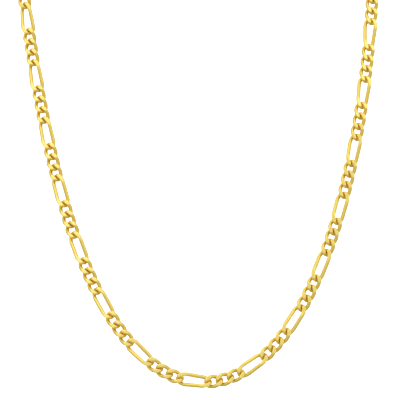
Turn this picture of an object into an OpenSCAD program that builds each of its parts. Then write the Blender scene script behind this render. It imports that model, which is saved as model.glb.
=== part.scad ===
// Figaro neck chain, in millimetres, +Z up, seen from the front at -Y.
// The origin is on the skin at the middle of the nape, where the clasp lies.
// The chain is a closed loop: round the neck, over both sides of its base, and down the chest.
// Every link is a separate solid. Each hooks through the next with a small gap.

/* [Pattern] */
// Repeats of the pattern round the whole loop
set_count = 32; // [31:1:33]
// Short links in each repeat, ahead of its one long link
short_count = 3; // [3:1:3]
// Pitch of the long link, as a multiple of the short link's
long_ratio = 2.47; // [2.2:0.01:2.6]

/* [Link] */
// Width of every link across the chain
link_w = 3.06; // [2.96:0.02:3.16]
// Diameter of the round wire
wire_d = 0.84; // [0.78:0.02:0.88]
// Thickness over the two flattened faces
link_t = 1.56; // [1.4:0.02:2]
// How far the wire's centre swings to the front and to the back of the link
swing = 0.72; // [0.68:0.01:0.76]
// Width between the shoulders, where the end bend begins, as a share of the full width
shoulder_share = 0.65; // [0.62:0.01:0.68]
// Height of the end bend above the shoulders
bend_h = 0.46; // [0.42:0.01:0.5]
// Gap between two wires that hook through each other
gap = 0.08; // [0.07:0.01:0.1]

/* [Chest] */
// Angle at which the front stretch leans back
lean = 15; // [5:1:20]
// Radius of the chain's bend at its lowest point
bottom_r = 16.5; // [15:0.5:20]
// Extra steepness of the left arm 100 mm from the lowest point, in degrees
left_steep = 1; // [0:0.2:3]
// Extra steepness of the right arm 100 mm from the lowest point, in degrees
right_steep = 4.6; // [3:0.2:5]
// Length of each arm, from the lowest point to the base of the neck
arm_len = 104; // [102:1:106]
// Lowest point of the front, across
front_x = 0.8; // [0:0.2:2]
// Lowest point of the front, measured forward from the nape
front_y = -93; // [-94:1:-91]
// Lowest point of the front, measured up from the nape
front_z = -135; // [-136:1:-133]

/* [Neck] */
// Radius of the neck where the chain goes round it
neck_r = 49; // [48:0.5:50]
// How far the chain drops from the nape to the side of the neck
ring_drop = 14; // [12:1:16]
// Reach of the bend from the side of the neck, along the ring
side_reach = 20; // [18:1:22]
// Reach of the same bend from the top of each arm, along the arm
arm_reach = 14; // [12:1:16]

/* [Clasp] */
// How far the chain has slid round, so that the clasp lies beside the middle of the nape
clasp_slide = 1.1; // [-2:0.1:2]
// Radius of the closed clasp ring, to the middle of its tube
clasp_r = 2.2; // [2:0.1:2.4]
// Diameter of the clasp ring's tube
clasp_tube_d = 1.1; // [1:0.05:1.2]
// Radius of each eye, to the middle of its wire
eye_r = 1.05; // [1.04:0.01:1.15]
// Diameter of the eyes' wire
eye_wire_d = 0.66; // [0.6:0.02:0.68]

/* [Hidden] */
$fn = 40;
step = 0.5;
ring_step = 2;
ring_end = 90;
bend_steps = 60;
steep_at = 100;
shoulder_ball = 1.02;
metal = "gold";

// Which way a link's flat face looks, by distance from the nape along the chain.
// Turn 180 is back, 90 is sideways and 0 is front. Lift is how far it looks up.
facing_table = [
    // [distance, turn, lift]
    [0, 180, 0],
    [60, 110, 25],
    [80, 68, 25],
    [104, 41, 22],
    [124, 20, lean],
    [170, 5, lean],
    [228, 0, lean]
];

// Front stretch, as [across, up the chest] from its lowest point.
// Each arm hangs close to a catenary and is a little steeper than one near its top.
function front_dir(t) =
    atan(t / bottom_r) + (t < 0 ? -left_steep : right_steep) * pow(t / steep_at, 2);
function front_step(t) = step * [cos(front_dir(t)), sin(front_dir(t))];
function arm(side) = [
    for (i = 0, p = [0, 0]; i * step <= arm_len; p = p + side * front_step(side * (i + 0.5) * step), i = i + 1)
        on_chest(p)
];
function on_chest(p) = [front_x + p.x, front_y + p.y * sin(lean), front_z + p.y * cos(lean)];

// Round the neck: a level circle at the nape that slopes down towards the front
ring_r = neck_r + link_t / 2;
function ring_point(side, a) =
    [side * ring_r * sin(a), ring_r * cos(a) - neck_r, -ring_drop * (1 - cos(a))];
function ring(side) = [for (a = [0 : ring_step : ring_end]) ring_point(side, a)];

function unit(v) = v / norm(v);
function last(list, back = 0) = list[len(list) - 1 - back];
function reversed(list) = [for (i = [len(list) - 1 : -1 : 0]) list[i]];
function without_ends(list) = [for (i = [1 : len(list) - 2]) list[i]];

// One smooth bend joins the ring to the top of the arm
function bezier(a, b, c, d, t) =
    pow(1 - t, 3) * a + 3 * pow(1 - t, 2) * t * b + 3 * (1 - t) * pow(t, 2) * c + pow(t, 3) * d;
function side_bend(from, to) =
    let (
        a = last(from),
        d = last(to),
        b = a + side_reach * unit(a - last(from, 1)),
        c = d + arm_reach * unit(d - last(to, 1))
    )
    [for (i = [0 : bend_steps]) bezier(a, b, c, d, i / bend_steps)];
function half_route(side) = concat(
    ring(side),
    without_ends(side_bend(ring(side), arm(side))),
    reversed(arm(side))
);

// The whole loop, from the nape round the wearer's right side and back to the nape
right_half = half_route(-1);
left_half = reversed(half_route(1));
route = concat(right_half, [for (i = [1 : len(left_half) - 1]) left_half[i]]);
distances = [
    for (i = 0, s = 0; i < len(route); s = s + (i + 1 < len(route) ? norm(route[i + 1] - route[i]) : 0), i = i + 1) s
];
loop_len = last(distances);
half_len = loop_len / 2;
function axis_table(axis) = [for (i = [0 : len(route) - 1]) [distances[i], route[i][axis]]];
axis_tables = [for (axis = [0 : 2]) axis_table(axis)];
function on_route(s) =
    let (in_loop = s < 0 ? s + loop_len : s)
    [for (table = axis_tables) lookup(in_loop, table)];
function column(k) = [for (row = facing_table) [row[0], row[k]]];
turns = column(1);
lifts = column(2);
function facing(s) =
    let (
        from_nape = min(s, loop_len - s),
        side = s < half_len ? -1 : 1,
        turn = lookup(from_nape, turns),
        lift = lookup(from_nape, lifts)
    )
    [side * sin(turn) * cos(lift), -cos(turn) * cos(lift), sin(lift)];

// Pitches: the links share out what the clasp leaves of the loop
eye_z = clasp_r + eye_r;
hook_gap = (wire_d + gap) / 2;
clasp_half = eye_z + eye_r - eye_wire_d / 2 - gap - wire_d / 2 + hook_gap;
set_pitch = (loop_len - 2 * clasp_half) / set_count;
short_pitch = set_pitch / (short_count + long_ratio);
long_pitch = short_pitch * long_ratio;
function hook_at(set, k) = clasp_slide + clasp_half + (set - 1) * set_pitch
    + min(k, short_count) * short_pitch + (k > short_count ? long_pitch : 0);

// A link's own shape: +Z along the chain, -Y its front face, the centre-line's half width in X.
// Radii and places are rounded, so that an arc and the straight wire after it meet exactly.
function rounded(v) = round(v * 1000) / 1000;
rail_x = rounded((link_w - wire_d) / 2);
shoulder_x = rounded(rail_x * shoulder_share);
shoulder_reach = norm([shoulder_x, swing]);
twist = atan(swing / shoulder_x);
bend_r = rounded((pow(shoulder_reach, 2) + pow(bend_h, 2)) / (2 * bend_h));
bend_half_angle = asin(shoulder_reach / bend_r);
rail_sag = rail_x - shoulder_x;
function shoulder_z(pitch) = rounded(pitch / 2 + hook_gap - bend_h);
function rail_half(pitch) = norm([swing, shoulder_z(pitch)]);
rail_bow = rail_half(short_pitch);
rail_r = rounded((pow(rail_bow, 2) + pow(rail_sag, 2)) / (2 * rail_sag));
rail_angle = asin(rail_bow / rail_r);

function two_digits(n) = str(n < 10 ? "0" : "", n);
function set_name(n) = str("link_set_", two_digits(n));

// Puts a shape between two points of the route, with its -Y side on the outside
module seat(s0, s1) {
    p0 = on_route(s0);
    p1 = on_route(s1);
    along = unit(p1 - p0);
    out = facing((s0 + s1) / 2);
    depth = -unit(out - (out * along) * along);
    across = cross(depth, along);
    middle = (p0 + p1) / 2;
    multmatrix([
        [across.x, depth.x, along.x, middle.x],
        [across.y, depth.y, along.y, middle.y],
        [across.z, depth.z, along.z, middle.z],
        [0, 0, 0, 1]
    ]) children();
}

// A piece of bent wire in the XZ plane, from one angle to another, with its centre at the origin
module bent_wire(r, d, from, to) {
    rotate([90, 0, 0])
        rotate_extrude(angle = to - from, start = from)
            translate([r, 0])
                circle(d = d);
}

// The bend at the link's upper end, turned so that its right side is in front
module end_bend(pitch) {
    rotate([0, 0, -twist])
        translate([0, 0, shoulder_z(pitch) + bend_h - bend_r])
            bent_wire(bend_r, wire_d, 90 - bend_half_angle, 90 + bend_half_angle);
}

// The rail on the link's right side: in front at the top, behind at the bottom.
// A short link's is one bow. A long link's has a straight stretch halfway along the same bow.
module rail(pitch) {
    straight = rounded(rail_half(pitch) - rail_bow);
    rotate([atan(swing / shoulder_z(pitch)), 0, 0])
        if (straight > gap) {
            for (end = [0, 1])
                mirror([0, 0, end])
                    translate([rail_x - rail_r, 0, straight])
                        bent_wire(rail_r, wire_d, 0, rail_angle);
            translate([rail_x, 0, -straight])
                cylinder(h = 2 * straight, d = wire_d);
        } else {
            translate([rail_x - rail_r, 0, 0])
                bent_wire(rail_r, wire_d, -rail_angle, rail_angle);
        }
}

// The wire where a rail turns into an end bend
module shoulders(pitch) {
    for (side = [-1, 1])
        translate([side * shoulder_x, -side * swing, shoulder_z(pitch)])
            sphere(d = wire_d * shoulder_ball);
}

// One curb link: the same half twice, turned end over end, with both faces flattened
module link(pitch) {
    intersection() {
        union() {
            for (turn = [0, 180]) {
                rotate([turn, 0, 0]) end_bend(pitch);
                rotate([turn, 0, 0]) shoulders(pitch);
                rotate([0, 0, turn]) rail(pitch);
            }
        }
        cube([2 * link_w, link_t, 2 * (pitch + link_w)], center = true);
    }
}

// One repeat of the pattern: the short links, then the long one
module link_set(set) {
    color(metal)
        for (k = [0 : short_count])
            seat(hook_at(set, k), hook_at(set, k + 1))
                link(k < short_count ? short_pitch : long_pitch);
}

// The closed clasp ring, with an eye at each end that takes the chain's last link
module clasp() {
    color(metal)
        seat(clasp_slide - clasp_half, clasp_slide + clasp_half) {
            bent_wire(clasp_r, clasp_tube_d, 0, 360);
            for (turn = [0, 180])
                rotate([turn, 0, 0])
                    rotate([0, 0, -twist])
                        translate([0, 0, eye_z])
                            bent_wire(eye_r, eye_wire_d, 0, 360);
        }
}

for (n = [1 : set_count])
    link_set(n);
clasp();
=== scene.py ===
# %% [markdown]
# # A figaro neck chain in polished gold
#
# A figaro chain repeats one pattern: three short curb links, then one long link. Every link
# is a ring of round wire that is twisted, so that the chain lies flat, and then filed a
# little on its two faces. This lesson builds 128 such links and the clasp at the nape.
#
# The CAD model already has each link in its place, as plain arcs with a kink where they
# meet. The lesson measures where each of those links lies and sweeps a finer one there.
# The places therefore come from the CAD model, and the soft, continuous twist from here.

# %% Load the chain that the CAD model gives
import math

import bpy
import numpy as np
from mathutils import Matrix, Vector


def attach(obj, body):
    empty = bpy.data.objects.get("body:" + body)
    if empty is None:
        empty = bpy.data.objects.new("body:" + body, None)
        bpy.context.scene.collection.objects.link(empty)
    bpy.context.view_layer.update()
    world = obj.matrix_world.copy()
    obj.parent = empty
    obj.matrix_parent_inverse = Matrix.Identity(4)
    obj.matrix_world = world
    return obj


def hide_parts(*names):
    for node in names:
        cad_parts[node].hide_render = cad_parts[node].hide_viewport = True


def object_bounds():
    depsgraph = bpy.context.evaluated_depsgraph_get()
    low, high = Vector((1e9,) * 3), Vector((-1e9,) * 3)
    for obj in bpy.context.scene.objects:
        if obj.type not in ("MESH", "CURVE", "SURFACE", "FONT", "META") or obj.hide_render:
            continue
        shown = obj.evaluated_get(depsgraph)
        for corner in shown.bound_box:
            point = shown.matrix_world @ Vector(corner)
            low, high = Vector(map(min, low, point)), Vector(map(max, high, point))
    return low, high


MM = 0.001

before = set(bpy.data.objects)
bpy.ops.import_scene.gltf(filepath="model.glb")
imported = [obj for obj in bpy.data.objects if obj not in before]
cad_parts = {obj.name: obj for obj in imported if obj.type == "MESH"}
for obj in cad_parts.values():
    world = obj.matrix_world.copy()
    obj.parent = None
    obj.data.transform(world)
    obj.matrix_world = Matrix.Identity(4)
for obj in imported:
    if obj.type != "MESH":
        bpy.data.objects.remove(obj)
cad_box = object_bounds()
set_names = sorted(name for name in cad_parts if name.startswith("link_set"))
print("repeats of the pattern:", len(set_names))
print("box in mm:", [[round(c / MM, 1) for c in corner] for corner in cad_box])

# %% [markdown]
# ## The camera
#
# The photo is taken level, from the front, with the chain's lowest point near the bottom
# edge. The chest leans back, so the arms are a little further away at the top. A long lens
# 600 mm in front of the chain gives the arms the photo's slight convergence, where a
# shorter lens from nearer by would exaggerate it.

# %% Put the camera in front of the lowest link
IMAGE_SIDE = 400
CAMERA_DISTANCE = 0.6
PIXEL_AT_FRONT = 0.2228 * MM
CAMERA_RISE = 42.0 * MM
SENSOR = 36.0
CLIP_NEAR = 0.05
CLIP_FAR = 60

scene = bpy.context.scene
camera_data = bpy.data.cameras.new("photo_camera")
camera_data.sensor_width = SENSOR
camera_data.lens = SENSOR * CAMERA_DISTANCE / (PIXEL_AT_FRONT * IMAGE_SIDE)
camera_data.clip_start = CLIP_NEAR
camera_data.clip_end = CLIP_FAR
camera = bpy.data.objects.new("photo_camera", camera_data)
camera.location = (0, cad_box[0].y + MM - CAMERA_DISTANCE, cad_box[0].z + CAMERA_RISE)
camera.rotation_euler = (math.pi / 2, 0, 0)
scene.collection.objects.link(camera)
scene.camera = camera
print("lens:", round(camera_data.lens, 1), "camera:", [round(c, 4) for c in camera.location])

# %% [markdown]
# ## The studio
#
# The chain hangs free, as on a neck, so its floor is a long way below. One pale bowl does
# for floor and backdrop: it has no corner that any view could show. A plane and a wall
# would do for the front alone. The paper glows a little, which keeps it evenly white
# without stronger lights. The bowl is kept out of the gold's reflections, because polished
# metal in an all-white room turns flat and loses its form.

# %% Turn a pale bowl round the chain
FLOOR_Z = -0.9
BOWL_RADIUS = 4.0
BOWL_BEND = 1.5
BOWL_HEIGHT = 3.0
BOWL_SIDES = 96
BEND_STEPS = 12
PINHOLE_RADIUS = 0.001
PAPER_WHITE = 0.9
PAPER_ROUGHNESS = 0.9
PAPER_GLOW = 0.45


def bowl_profile():
    """The bowl's section as (radius, height), from a pinhole in mid-floor to the rim."""
    bend = [math.radians(90 * i / BEND_STEPS) for i in range(BEND_STEPS + 1)]
    flat = BOWL_RADIUS - BOWL_BEND
    curve = [
        (flat + BOWL_BEND * math.sin(a), FLOOR_Z + BOWL_BEND * (1 - math.cos(a)))
        for a in bend
    ]
    return [(PINHOLE_RADIUS, FLOOR_Z)] + curve + [(BOWL_RADIUS, FLOOR_Z + BOWL_HEIGHT)]


def spun_mesh(name, profile, sides):
    """A mesh made by turning a profile about the Z axis."""
    angles = [2 * math.pi * i / sides for i in range(sides)]
    points = [(r * math.cos(a), r * math.sin(a), z) for r, z in profile for a in angles]
    starts = [k * sides for k in range(len(profile) - 1)]
    faces = [
        (start + i, start + (i + 1) % sides, start + sides + (i + 1) % sides, start + sides + i)
        for start in starts
        for i in range(sides)
    ]
    mesh = bpy.data.meshes.new(name)
    mesh.from_pydata(points, [], faces)
    mesh.shade_smooth()
    return mesh


bowl = bpy.data.objects.new("studio_bowl", spun_mesh("studio_bowl", bowl_profile(), BOWL_SIDES))
scene.collection.objects.link(bowl)
bowl.visible_glossy = False

paper = bpy.data.materials.new("studio_paper")
paper.use_nodes = True
paper_shader = paper.node_tree.nodes["Principled BSDF"]
paper_shader.inputs["Base Color"].default_value = (PAPER_WHITE, PAPER_WHITE, PAPER_WHITE, 1)
paper_shader.inputs["Roughness"].default_value = PAPER_ROUGHNESS
paper_shader.inputs["Emission Color"].default_value = (1, 1, 1, 1)
paper_shader.inputs["Emission Strength"].default_value = PAPER_GLOW
bowl.data.materials.append(paper)
print("bowl radius:", BOWL_RADIUS, "floor at", FLOOR_Z)

# %% [markdown]
# ## Light for polished metal
#
# Polished gold shows its surroundings, so its light is drawn as bright and dark areas round
# it. The sky here grows brighter with height, which gives a round wire a light top and a
# darker underside. It is also dimmer behind the chain: the rims of a wire mirror what is
# behind it, so its outline stays dark enough to read against the white paper. An even white
# sky would wash the rims out. Softboxes add the highlights on the filed faces.

# %% Shade the sky by height, and dim it behind the chain
SKY_STOPS = [(0.0, 0.52), (0.42, 0.64), (0.55, 0.75), (0.8, 0.86), (1.0, 0.92)]
DIM_STOPS = [(0.0, 1.0), (0.35, 0.98), (0.6, 0.84), (1.0, 0.80)]

world = bpy.data.worlds.new("studio_sky")
scene.world = world
world.use_nodes = True
sky_nodes = world.node_tree.nodes
sky_links = world.node_tree.links
direction = sky_nodes.new("ShaderNodeTexCoord")
split = sky_nodes.new("ShaderNodeSeparateXYZ")
height = sky_nodes.new("ShaderNodeMapRange")
height.inputs["From Min"].default_value = -1
behind = sky_nodes.new("ShaderNodeMapRange")
behind.inputs["From Min"].default_value = -1


def light_ramp(stops, place):
    """A grey ramp with (place, light) stops, read at a place between 0 and 1."""
    ramp = sky_nodes.new("ShaderNodeValToRGB")
    ramp.color_ramp.interpolation = "EASE"
    while len(ramp.color_ramp.elements) < len(stops):
        ramp.color_ramp.elements.new(0.5)
    for element, (position, light) in zip(ramp.color_ramp.elements, stops):
        element.position = position
        element.color = (light, light, light, 1)
    sky_links.new(place, ramp.inputs["Fac"])
    return ramp.outputs["Color"]


sky_links.new(direction.outputs["Generated"], split.inputs[0])
sky_links.new(split.outputs["Z"], height.inputs["Value"])
sky_links.new(split.outputs["Y"], behind.inputs["Value"])
sky_light = sky_nodes["Background"]
sky_links.new(light_ramp(SKY_STOPS, height.outputs["Result"]), sky_light.inputs["Color"])
sky_links.new(light_ramp(DIM_STOPS, behind.outputs["Result"]), sky_light.inputs["Strength"])
print("sky from", SKY_STOPS[0][1], "to", SKY_STOPS[-1][1], "and behind times", DIM_STOPS[-1][1])

# %% Hang the softboxes
CHEST = np.array([0.0, -0.075, -0.09])


def softbox(name, azimuth, elevation, distance, size, power):
    """A square area light, aimed at the front of the chain. Azimuth 0 is the camera's side."""
    turn, rise = math.radians(azimuth), math.radians(elevation)
    away = np.array([
        math.sin(turn) * math.cos(rise),
        -math.cos(turn) * math.cos(rise),
        math.sin(rise),
    ])
    light_data = bpy.data.lights.new(name, "AREA")
    light_data.size = size
    light_data.energy = power
    light = bpy.data.objects.new(name, light_data)
    light.location = CHEST + distance * away
    light.rotation_euler = (math.pi / 2 - rise, 0, turn)
    light.visible_camera = False
    scene.collection.objects.link(light)
    return light


softboxes = [
    softbox("key_box", azimuth=-25, elevation=42, distance=0.9, size=0.6, power=0.4),
    softbox("fill_box", azimuth=40, elevation=25, distance=1.0, size=0.4, power=0.2),
    softbox("top_box", azimuth=10, elevation=80, distance=0.9, size=0.5, power=0.3),
    softbox("back_box", azimuth=180, elevation=35, distance=1.0, size=0.6, power=0.3),
]
print("softboxes:", [light.name for light in softboxes])

# %% [markdown]
# ## Finding each link
#
# A CAD node holds four links that don't touch, so its mesh falls into four loose parts. A
# link's own directions come from the spread of its surface: furthest along the chain, less
# across it, least through its thickness. They are the eigenvectors of the surface's second
# moments. A twisted link looks the same after half a turn about any of the three, so it
# doesn't matter which way along an axis the eigenvector points.

# %% Split a node's mesh into its links
MICRON = 0.001 * MM


def loose_parts(mesh):
    """The corner points of the triangles of each loose part of a mesh."""
    mesh.calc_loop_triangles()
    points = np.array([v.co for v in mesh.vertices])
    triangles = np.array([t.vertices for t in mesh.loop_triangles])
    in_microns = np.round(points / MICRON).astype(np.int64)
    _, first, same = np.unique(in_microns, axis=0, return_index=True, return_inverse=True)
    triangles = same.reshape(-1)[triangles]
    label = np.arange(len(first))
    settled = False
    while not settled:
        before = label.copy()
        np.minimum.at(label, triangles.ravel(), np.repeat(label[triangles].min(axis=1), 3))
        label = label[label]
        settled = (label == before).all()
    owner = label[triangles[:, 0]]
    return [points[first][triangles[owner == part]] for part in np.unique(owner)]


def link_place(corners):
    """A link's centre, its directions as rows (across, through, along) and its half sizes."""
    sides = np.cross(corners[:, 1] - corners[:, 0], corners[:, 2] - corners[:, 0])
    areas = np.linalg.norm(sides, axis=1)[:, None]
    middles = corners.mean(axis=1)
    centre = (middles * areas).sum(axis=0) / areas.sum()
    offsets = middles - centre
    directions = np.linalg.eigh((offsets * areas).T @ offsets)[1].T
    through, _, along = [d * np.sign(d[np.abs(d).argmax()]) for d in directions]
    axes = np.array([np.cross(through, along), through, along])
    return centre, axes, np.abs((corners.reshape(-1, 3) - centre) @ axes.T).max(axis=0)


links = {
    name: [link_place(part) for part in loose_parts(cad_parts[name].data)]
    for name in set_names
}
LONG_FROM = 3 * MM
halves = np.array([half for found in links.values() for _, _, half in found])
is_long = halves[:, 2] > LONG_FROM
long_half = halves[is_long, 2].mean()
short_half = halves[~is_long, 2].mean()
print("links:", len(halves), "of which long:", int(is_long.sum()))
print("long link in mm:", np.round(2 * halves[is_long].mean(axis=0) / MM, 2))
print("short link in mm:", np.round(2 * halves[~is_long].mean(axis=0) / MM, 2))

# %% [markdown]
# ## The line that the wire follows
#
# From the front a curb link is an oval. From its edge it is a slim figure of eight, because
# the maker twists it a quarter turn: each rail runs from the front face to the back face,
# and each end bend crosses over between them. A torus with a twist on it comes close, but
# then its ends no longer clear the next link. Four bows through named points give the CAD
# model's line. Smoothing then takes out the kinks where the bows meet. Each pass spreads a
# point by half a squared step, so the number of passes follows from the width wanted.

# %% Draw the four bows and relax their kinks
WIRE_D = 0.84 * MM
RAIL_X = 1.11 * MM
SHOULDER_X = 0.722 * MM
SWING = 0.72 * MM
END_RISE = 0.46 * MM
LINE_STEP = 0.04 * MM
RELAX_WIDTH = 0.15 * MM


def bow(start, end, rise, straight=0.0, points=60):
    """An arc from start to end that rises by a vector halfway, around a straight middle."""
    start, end, rise = (np.array(v, dtype=float) for v in (start, end, rise))
    chord = np.linalg.norm(end - start)
    along = (end - start) / chord
    half = chord / 2 - straight
    sag = np.linalg.norm(rise)
    radius = (half**2 + sag**2) / (2 * sag)
    widest = math.asin(half / radius)
    angles = np.linspace(-widest, widest, points)[:, None]
    lengthwise = radius * np.sin(angles) + straight * np.sign(angles)
    upward = radius * np.cos(angles) - radius + sag
    return (start + end) / 2 + lengthwise * along + upward * rise / sag


def evenly_spaced(line, count):
    """A closed line again, as a number of points with equal steps between them."""
    closed = np.vstack([line, line[:1]])
    reach = np.concatenate([[0], np.cumsum(np.linalg.norm(np.diff(closed, axis=0), axis=1))])
    places = np.linspace(0, reach[-1], count, endpoint=False)
    return np.stack([np.interp(places, reach, closed[:, k]) for k in range(3)], axis=1), reach[-1]


def wire_line(half_length):
    """The centre-line of a link's wire: across in X, front at -Y, along the chain in Z."""
    top = half_length - WIRE_D / 2 - END_RISE
    short_top = short_half - WIRE_D / 2 - END_RISE
    straight = math.hypot(SWING, top) - math.hypot(SWING, short_top)
    front_right = (SHOULDER_X, -SWING, top)
    back_right = (SHOULDER_X, SWING, -top)
    front_left = (-SHOULDER_X, -SWING, -top)
    back_left = (-SHOULDER_X, SWING, top)
    outward = (RAIL_X - SHOULDER_X, 0, 0)
    inward = (SHOULDER_X - RAIL_X, 0, 0)
    bows = [
        bow(front_right, back_right, outward, straight),
        bow(back_right, front_left, (0, 0, -END_RISE)),
        bow(front_left, back_left, inward, straight),
        bow(back_left, front_right, (0, 0, END_RISE)),
    ]
    line = np.vstack([b[:-1] for b in bows])
    _, length = evenly_spaced(line, 2)
    line, _ = evenly_spaced(line, round(length / LINE_STEP))
    passes = round(2 * (RELAX_WIDTH / LINE_STEP) ** 2)
    for _ in range(passes):
        line = (np.roll(line, 1, axis=0) + 2 * line + np.roll(line, -1, axis=0)) / 4
    return line, length


for name, half in (("short", short_half), ("long", long_half)):
    print(name, "link's wire in mm:", round(wire_line(half)[1] / MM, 2))

# %% [markdown]
# ## Sweeping and filing the wire
#
# A curve object with a round bevel would sweep the wire, but its rings turn at will round the
# path. Here each ring is laid out by the script and starts at the link's own back face, so the
# two filed faces always fall on the same rows of the mesh.
#
# In the CAD model two hooked wires clear each other by up to 0.08 mm, where a worn chain's
# touch. The wire here is 0.04 mm fuller, which closes most of that and keeps the links apart.
#
# The file takes off whatever stands proud of the link's thickness. A Boolean cut would leave
# a razor edge. Real links are polished after filing, so the wire's height is eased into the
# flat over a tenth of a millimetre, and the facet gets a soft edge that catches the light.

# %% Sweep one link and file its two faces
LINK_T = 1.56 * MM
FILE_EASE = 0.11 * MM
FULL_RADIUS = 0.44 * MM
WIRE_SIDES = 20
RING_STEP = 0.115 * MM


def eased_flat(depth):
    """Depths through the link after filing, and how much of a filed face each point is."""
    half = LINK_T / 2
    reach = np.abs(depth)
    over = reach - (half - FILE_EASE)
    eased = half - FILE_EASE + over - over**2 / (4 * FILE_EASE)
    filed = np.where(over < 0, reach, np.where(over > 2 * FILE_EASE, half, eased))
    return np.sign(depth) * filed, np.clip(over / (2 * FILE_EASE), 0, 1)


def swept_link(half_length):
    """A link as a grid of points, [ring, side, xyz], with maps of the same size."""
    line, length = wire_line(half_length)
    rings = round(length / RING_STEP)
    line, _ = evenly_spaced(line, rings)
    along = np.roll(line, -1, axis=0) - np.roll(line, 1, axis=0)
    along /= np.linalg.norm(along, axis=1)[:, None]
    through = np.array([0, 1, 0]) - along[:, 1:2] * along
    through /= np.linalg.norm(through, axis=1)[:, None]
    across = np.cross(along, through)
    angles = 2 * math.pi * np.arange(WIRE_SIDES) / WIRE_SIDES
    circle = (
        np.cos(angles)[None, :, None] * through[:, None, :]
        + np.sin(angles)[None, :, None] * across[:, None, :]
    )
    points = line[:, None, :] + FULL_RADIUS * circle
    points[..., 1], filed = eased_flat(points[..., 1])
    return {"points": points, "filed": filed, "line": line, "length": length}


shapes = {"short": swept_link(short_half), "long": swept_link(long_half)}
for name, shape in shapes.items():
    filed_share = round(float(shape["filed"].mean()), 2)
    print(name, "link: rings", len(shape["line"]), "filed share", filed_share)

# %% [markdown]
# ## Where two links rub: duller polish and painted shade
#
# Inside each hook the next link's wire lies almost against this one. Polishing mops don't reach
# in there, so it stays a little duller. The gold there is also painted deeper and darker in
# colour: that is painted shade, standing in for the shadow of the next link. The Ambient
# Occlusion node could find such places while rendering, but an exported model would lose it. The
# distance to the neighbour's wire, kept as a number on each point, stays with the mesh.

# %% Measure how near the neighbouring wire is
HOOK_GAP = 0.08 * MM
# How far the hooks' duller polish and painted shade reach from the neighbour's wire.
HOOK_SHADE_AND_DULL_REACH = 0.35 * MM


def hook_nearness(shape, half_length):
    """For each point, 1 where the next link's wire all but touches, down to 0 away from it."""
    pitch = 2 * half_length - 2 * WIRE_D - HOOK_GAP
    ends = shape["line"][np.abs(shape["line"][:, 2]) > half_length - 2 * WIRE_D]
    nearest = np.full(shape["points"].shape[:2], np.inf)
    for shift in (pitch, -pitch):
        for x, y, z in ends:
            offset = shape["points"] - np.array([x, y, z + shift])
            nearest = np.minimum(nearest, np.linalg.norm(offset, axis=2))
    clearance = nearest - FULL_RADIUS
    return np.clip(1 - clearance / HOOK_SHADE_AND_DULL_REACH, 0, 1)


# The nearness map drives a duller polish and painted shade in the hooks.
for name, half in (("short", short_half), ("long", long_half)):
    shapes[name]["hook_shade_and_dullness"] = hook_nearness(shapes[name], half)
    print(name, "link: rubbed share", round(float(shapes[name]["hook_shade_and_dullness"].mean()), 2))

# %% [markdown]
# ## Gold, part one: the colour
#
# Yellow gold is a metal, so its colour is the colour of its reflections. The filed faces are
# painted a paler gold, a painted sheen for their mirror polish, and the gold deep in the hooks is
# painted darker and deeper, a painted shade where the next link crowds in. Two soft noises, one a
# link long and one much finer, keep any two links from being quite the same. Both gold materials
# use it, so it is a node group that puts out one colour. Short helpers keep the wiring of its
# nodes readable, where a list of nodes and links would hide what is done to the colour. A colour
# Mix node has sockets of one name for every data type, so its own are told by number.

# %% Write small helpers for node groups
COLOR, FLOAT = "NodeSocketColor", "NodeSocketFloat"
MIX_FIRST, MIX_SECOND, MIX_RESULT = 6, 7, 2


def new_group(name, inputs, outputs):
    """An empty shader node group with float or colour sockets, given as (name, kind, value)."""
    group = bpy.data.node_groups.new(name, "ShaderNodeTree")
    for label, kind, value in inputs:
        socket = group.interface.new_socket(label, in_out="INPUT", socket_type=kind)
        socket.default_value = value
    for label, kind in outputs:
        group.interface.new_socket(label, in_out="OUTPUT", socket_type=kind)
    return group, group.nodes.new("NodeGroupInput"), group.nodes.new("NodeGroupOutput")


def place_in_mm(group):
    """The point's place on the object, in millimetres."""
    place = group.nodes.new("ShaderNodeTexCoord")
    in_mm = group.nodes.new("ShaderNodeVectorMath")
    in_mm.operation = "SCALE"
    in_mm.inputs["Scale"].default_value = 1 / MM
    group.links.new(place.outputs["Object"], in_mm.inputs[0])
    return in_mm.outputs["Vector"]


def point_value(group, name):
    """A number that the mesh keeps on each point."""
    reader = group.nodes.new("ShaderNodeAttribute")
    reader.attribute_name = name
    return reader.outputs["Fac"]


def noise(group, vector, scale, detail=2.0):
    """Noise of a given fineness, in cells per unit of its vector."""
    texture = group.nodes.new("ShaderNodeTexNoise")
    texture.inputs["Scale"].default_value = scale
    texture.inputs["Detail"].default_value = detail
    group.links.new(vector, texture.inputs["Vector"])
    return texture.outputs["Fac"]


def mixed_color(group, factor, first, second):
    """Two colours mixed by a factor. Each may be a socket or a plain colour."""
    mix = group.nodes.new("ShaderNodeMix")
    mix.data_type = "RGBA"
    group.links.new(factor, mix.inputs["Factor"])
    for socket, color in ((mix.inputs[MIX_FIRST], first), (mix.inputs[MIX_SECOND], second)):
        if isinstance(color, tuple):
            socket.default_value = color
        else:
            group.links.new(color, socket)
    return mix.outputs[MIX_RESULT]


def calculation(group, operation, *values, clamp=False):
    """One Math node. Each value may be a socket or a number."""
    node = group.nodes.new("ShaderNodeMath")
    node.operation = operation
    node.use_clamp = clamp
    for socket, value in zip(node.inputs, values):
        if isinstance(value, (int, float)):
            socket.default_value = value
        else:
            group.links.new(value, socket)
    return node.outputs[0]


print("node helpers ready")

# %% Build the gold colour group
LINK_SCALE = 0.35
FINE_SCALE = 3.0
# Filed faces are painted a paler gold: a painted sheen standing in for their mirror polish.
FACE_SHEEN = 0.7
# This falloff shapes the painted shade in the hooks.
HOOK_SHADE_FALLOFF = 1.5

# The pale gold socket is a painted sheen for the filed faces, and the deep gold socket a painted
# shade for the hooks.
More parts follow.
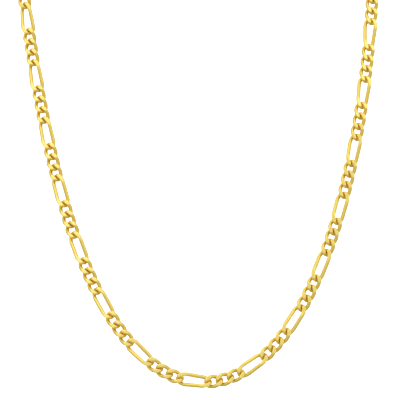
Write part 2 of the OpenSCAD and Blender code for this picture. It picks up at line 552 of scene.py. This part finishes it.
tone_group, tone_in, tone_out = new_group(
    "gold_tone",
    [
        ("Gold", COLOR, (1.0, 0.78, 0.34, 1)),
        ("Sheen Gold", COLOR, (1.0, 0.84, 0.45, 1)),
        ("Hook Shade Gold", COLOR, (0.72, 0.45, 0.10, 1)),
        ("Unevenness", FLOAT, 0.3),
    ],
    [("Color", COLOR)],
)
place = place_in_mm(tone_group)
patches = calculation(
    tone_group, "ADD", noise(tone_group, place, LINK_SCALE), noise(tone_group, place, FINE_SCALE)
)
patches = calculation(tone_group, "MULTIPLY", patches, tone_in.outputs["Unevenness"])
# Painted sheen: the filed faces, plus the real patchy tone, mix the gold towards the paler gold.
faces = calculation(tone_group, "MULTIPLY", point_value(tone_group, "filed"), FACE_SHEEN)
sheen_and_patches = calculation(tone_group, "ADD", faces, patches, clamp=True)
bright = mixed_color(tone_group, sheen_and_patches, tone_in.outputs["Gold"], tone_in.outputs["Sheen Gold"])
# Painted shade: the gold is mixed towards the darker, deeper gold where the next link's wire is
# near.
painted_hook_shade = calculation(tone_group, "POWER", point_value(tone_group, "hook_shade_and_dullness"), HOOK_SHADE_FALLOFF)
tone = mixed_color(tone_group, painted_hook_shade, bright, tone_in.outputs["Hook Shade Gold"])
tone_group.links.new(tone, tone_out.inputs["Color"])
print("group:", tone_group.name, "nodes", len(tone_group.nodes))

# %% [markdown]
# ## Gold, part two: the polish
#
# Drawn wire keeps faint lines along its length from the die, even after tumbling. The filed
# faces have been buffed harder: they are smoother, with fine crossing scratches from wear.
# Stretched noise gives both. Each pair below is its fineness, in cells a millimetre, across
# and along the line. It uses the mesh's own UV map, in millimetres, so the lines follow
# every bend. An image of scratches would do it too, but it repeats.

# %% Build the polish group
DRAW_LINES = (14.0, 0.5)
DRAW_FROM = 0.45
SCRATCH_LINES = (11.0, 0.9)
SCRATCH_FROM = 0.6
SCRATCH_TURNS = (35, -50)
LINE_EDGE = 0.2
RUB_DULLNESS = 0.12
MARK_DULLNESS = 0.1


def stretched_lines(group, turn_degrees, across, along, sharp_from):
    """Thin lines over the wire's surface, 0 between them and up to 1 on a line."""
    uv = group.nodes.new("ShaderNodeUVMap")
    uv.uv_map = "wire"
    mapping = group.nodes.new("ShaderNodeMapping")
    mapping.inputs["Rotation"].default_value = (0, 0, math.radians(turn_degrees))
    stretch = group.nodes.new("ShaderNodeMapping")
    stretch.inputs["Scale"].default_value = (across, along, 1)
    group.links.new(uv.outputs["UV"], mapping.inputs["Vector"])
    group.links.new(mapping.outputs["Vector"], stretch.inputs["Vector"])
    raw = noise(group, stretch.outputs["Vector"], 1.0, detail=3.0)
    sharpen = group.nodes.new("ShaderNodeMapRange")
    sharpen.inputs["From Min"].default_value = sharp_from
    sharpen.inputs["From Max"].default_value = sharp_from + LINE_EDGE
    group.links.new(raw, sharpen.inputs["Value"])
    return sharpen.outputs["Result"]


polish_group, polish_in, polish_out = new_group(
    "gold_polish",
    [
        ("Round Roughness", FLOAT, 0.2),
        ("Face Roughness", FLOAT, 0.1),
        ("Marks", FLOAT, 0.5),
    ],
    [("Roughness", FLOAT), ("Height", FLOAT)],
)
filed = point_value(polish_group, "filed")
unfiled = calculation(polish_group, "SUBTRACT", 1.0, filed)
drawn = stretched_lines(polish_group, 0, *DRAW_LINES, DRAW_FROM)
scratches = [
    stretched_lines(polish_group, turn, *SCRATCH_LINES, SCRATCH_FROM) for turn in SCRATCH_TURNS
]
drawn = calculation(polish_group, "MULTIPLY", drawn, unfiled)
scratched = calculation(polish_group, "MAXIMUM", *scratches)
worn = calculation(polish_group, "MULTIPLY", scratched, filed)
marks = calculation(polish_group, "ADD", drawn, worn)
marks = calculation(polish_group, "MULTIPLY", marks, polish_in.outputs["Marks"])
base = calculation(polish_group, "MULTIPLY", unfiled, polish_in.outputs["Round Roughness"])
face = calculation(polish_group, "MULTIPLY", filed, polish_in.outputs["Face Roughness"])
dull = calculation(polish_group, "MULTIPLY", point_value(polish_group, "hook_shade_and_dullness"), RUB_DULLNESS)
marked = calculation(polish_group, "MULTIPLY", marks, MARK_DULLNESS)
rough = calculation(polish_group, "ADD", calculation(polish_group, "ADD", base, face), dull)
rough = calculation(polish_group, "ADD", rough, marked)
polish_group.links.new(rough, polish_out.inputs["Roughness"])
polish_group.links.new(
    calculation(polish_group, "SUBTRACT", 1.0, marks), polish_out.inputs["Height"]
)
print("group:", polish_group.name, "nodes", len(polish_group.nodes))

# %% [markdown]
# ## Gold, part three: the two materials
#
# The links and the clasp are the same alloy. The clasp has been handled more and never
# filed, so it is duller and its colour more uneven. The Principled shader with Metallic at 1
# does for both: a clear coat over it would look like lacquer.

# %% Make the gold for the links and the gold for the clasp
MARK_DEPTH = 0.02 * MM


def gold_material(name, colors, unevenness, roughness, marks, bump):
    """Polished gold. Colours are (gold, painted sheen on filed faces, painted shade in hooks) and
    roughness is (round, face).
    """
    material = bpy.data.materials.new(name)
    material.use_nodes = True
    nodes, wires = material.node_tree.nodes, material.node_tree.links
    shader = nodes["Principled BSDF"]
    shader.inputs["Metallic"].default_value = 1.0
    tone_node = nodes.new("ShaderNodeGroup")
    tone_node.node_tree = tone_group
    for label, color in zip(("Gold", "Sheen Gold", "Hook Shade Gold"), colors):
        tone_node.inputs[label].default_value = (*color, 1)
    tone_node.inputs["Unevenness"].default_value = unevenness
    polish_node = nodes.new("ShaderNodeGroup")
    polish_node.node_tree = polish_group
    polish_node.inputs["Round Roughness"].default_value = roughness[0]
    polish_node.inputs["Face Roughness"].default_value = roughness[1]
    polish_node.inputs["Marks"].default_value = marks
    relief = nodes.new("ShaderNodeBump")
    relief.inputs["Strength"].default_value = bump
    relief.inputs["Distance"].default_value = MARK_DEPTH
    wires.new(tone_node.outputs["Color"], shader.inputs["Base Color"])
    wires.new(polish_node.outputs["Roughness"], shader.inputs["Roughness"])
    wires.new(polish_node.outputs["Height"], relief.inputs["Height"])
    wires.new(relief.outputs["Normal"], shader.inputs["Normal"])
    return material


# The paler gold is painted sheen for the filed faces, and the darker gold painted shade in the
# hooks.
GOLD = (1.0, 0.745, 0.145)
SHEEN_GOLD = (1.0, 0.80, 0.22)
HOOK_SHADE_GOLD = (0.88, 0.54, 0.05)
GOLDS_WITH_SHEEN_AND_SHADE = (GOLD, SHEEN_GOLD, HOOK_SHADE_GOLD)
link_gold = gold_material(
    "polished_link_gold", GOLDS_WITH_SHEEN_AND_SHADE, unevenness=0.25, roughness=(0.17, 0.1), marks=0.6, bump=0.6
)
clasp_gold = gold_material(
    "handled_clasp_gold", GOLDS_WITH_SHEEN_AND_SHADE, unevenness=0.35, roughness=(0.22, 0.2), marks=0.6, bump=0.35
)
print("materials:", link_gold.name, clasp_gold.name)

# %% [markdown]
# ## Building the links
#
# Each repeat of the pattern becomes one mesh of four separate rings of wire, which stands
# in for one CAD node. Copies of one object would be lighter, but the exported part needs
# whole meshes. The grid of points turns into quads that close on themselves both ways. The
# UV map runs in millimetres round the wire and along it. It starts further on for each link
# of the four, so that their marks differ.

# %% Place a link's grid and join four of them into one mesh
def ring_quads(rings, start):
    """Quads over a closed tube whose points start at a given number."""
    ring = np.arange(rings)[:, None]
    side = np.arange(WIRE_SIDES)[None, :]
    next_ring, next_side = (ring + 1) % rings, (side + 1) % WIRE_SIDES
    corners = [(ring, side), (ring, next_side), (next_ring, next_side), (next_ring, side)]
    return start + np.stack([r * WIRE_SIDES + s for r, s in corners], axis=2).reshape(-1, 4)


def ring_uvs(rings, length):
    """The UV of each quad's corners, in millimetres round the wire and along it."""
    ring = np.arange(rings)[:, None] + 0 * np.arange(WIRE_SIDES)[None, :]
    side = np.arange(WIRE_SIDES)[None, :] + 0 * np.arange(rings)[:, None]
    corners = [(ring, side), (ring, side + 1), (ring + 1, side + 1), (ring + 1, side)]
    round_mm = 2 * math.pi * FULL_RADIUS / WIRE_SIDES / MM
    along_mm = length / rings / MM
    return np.stack(
        [np.stack([s * round_mm, r * along_mm], axis=2) for r, s in corners], axis=2
    ).reshape(-1, 2)


def link_set_mesh(name, places):
    """One mesh of all the links at the given places, with its maps."""
    points, quads, uvs = [], [], []
    # The second map carries the hooks' duller polish and painted shade.
    values = {"filed": [], "hook_shade_and_dullness": []}
    for centre, axes, half in places:
        shape = shapes["long" if half[2] > LONG_FROM else "short"]
        start = sum(len(p) for p in points)
        rings = len(shape["line"])
        points.append(shape["points"].reshape(-1, 3) @ axes + centre)
        quads.append(ring_quads(rings, start))
        uvs.append(ring_uvs(rings, shape["length"]) + start)
        for key, collected in values.items():
            collected.append(shape[key].ravel())
    mesh = bpy.data.meshes.new(name)
    mesh.from_pydata(np.concatenate(points).tolist(), [], np.concatenate(quads).tolist())
    mesh.uv_layers.new(name="wire").data.foreach_set("uv", np.concatenate(uvs).ravel())
    for key, collected in values.items():
        attribute = mesh.attributes.new(key, "FLOAT", "POINT")
        attribute.data.foreach_set("value", np.concatenate(collected))
    mesh.shade_smooth()
    return mesh


def show_instead(name, mesh, node, material):
    """A new piece that stands in for a CAD node and keeps still with the whole chain."""
    piece = bpy.data.objects.new(name, mesh)
    scene.collection.objects.link(piece)
    mesh.materials.append(material)
    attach(piece, "root")
    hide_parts(node)
    return piece


triangles = 0
for name in set_names:
    mesh = link_set_mesh("gold_" + name, links[name])
    show_instead("gold_" + name, mesh, name, link_gold)
    triangles += 2 * len(mesh.polygons)
print("link pieces:", len(set_names), "triangles:", triangles)

# %% [markdown]
# ## The clasp at the nape
#
# The photo doesn't show the clasp, so it stays a plain closed ring with an eye at each end.
# In the CAD model the eyes just run into the ring. On a real one they are soldered on, and
# the solder fills the corner. A voxel remesh makes one skin of ring and eyes, and a few
# rounds of smoothing round the corner off. The remesh doesn't work below a tenth of a
# millimetre in Blender's units, so it is done at a thousand times the size. It also drops
# UV maps, so a flat one is laid on last.

# %% Melt the clasp's ring and eyes together
CLASP_VOXEL = 0.06
SOLDER_ROUNDS = 6
SOLDER_SOFTNESS = 0.5


def melted_copy(source, name):
    """A copy of a CAD node's mesh with its joints rounded off."""
    mesh = source.data.copy()
    mesh.name = name
    mesh.materials.clear()
    worker = bpy.data.objects.new("melting", mesh)
    scene.collection.objects.link(worker)
    mesh.transform(np.diag([1 / MM, 1 / MM, 1 / MM, 1]).tolist())
    remesh = worker.modifiers.new("skin", "REMESH")
    remesh.mode = "VOXEL"
    remesh.voxel_size = CLASP_VOXEL
    remesh.use_smooth_shade = True
    smooth = worker.modifiers.new("solder", "SMOOTH")
    smooth.factor = SOLDER_SOFTNESS
    smooth.iterations = SOLDER_ROUNDS
    result = bpy.data.meshes.new_from_object(
        worker.evaluated_get(bpy.context.evaluated_depsgraph_get())
    )
    bpy.data.objects.remove(worker)
    result.transform(np.diag([MM, MM, MM, 1]).tolist())
    result.name = name
    return result


def lay_flat_uv(mesh):
    """A UV map in millimetres, flat as seen from behind the neck, for the polishing marks."""
    places = np.array([vertex.co for vertex in mesh.vertices])[:, [0, 2]] / MM
    corners = np.empty(len(mesh.loops), dtype=np.int32)
    mesh.loops.foreach_get("vertex_index", corners)
    mesh.uv_layers.new(name="wire").data.foreach_set("uv", places[corners].ravel())


clasp_mesh = melted_copy(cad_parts["clasp"], "gold_clasp")
lay_flat_uv(clasp_mesh)
show_instead("gold_clasp", clasp_mesh, "clasp", clasp_gold)
print("clasp triangles:", 2 * len(clasp_mesh.polygons))

# %% [markdown]
# ## Finishing
#
# The finer links must keep the CAD model's size. The view transform is the plain one, which keeps
# the paper near white.

# %% Set the plain view transform
scene.view_settings.view_transform = "Standard"
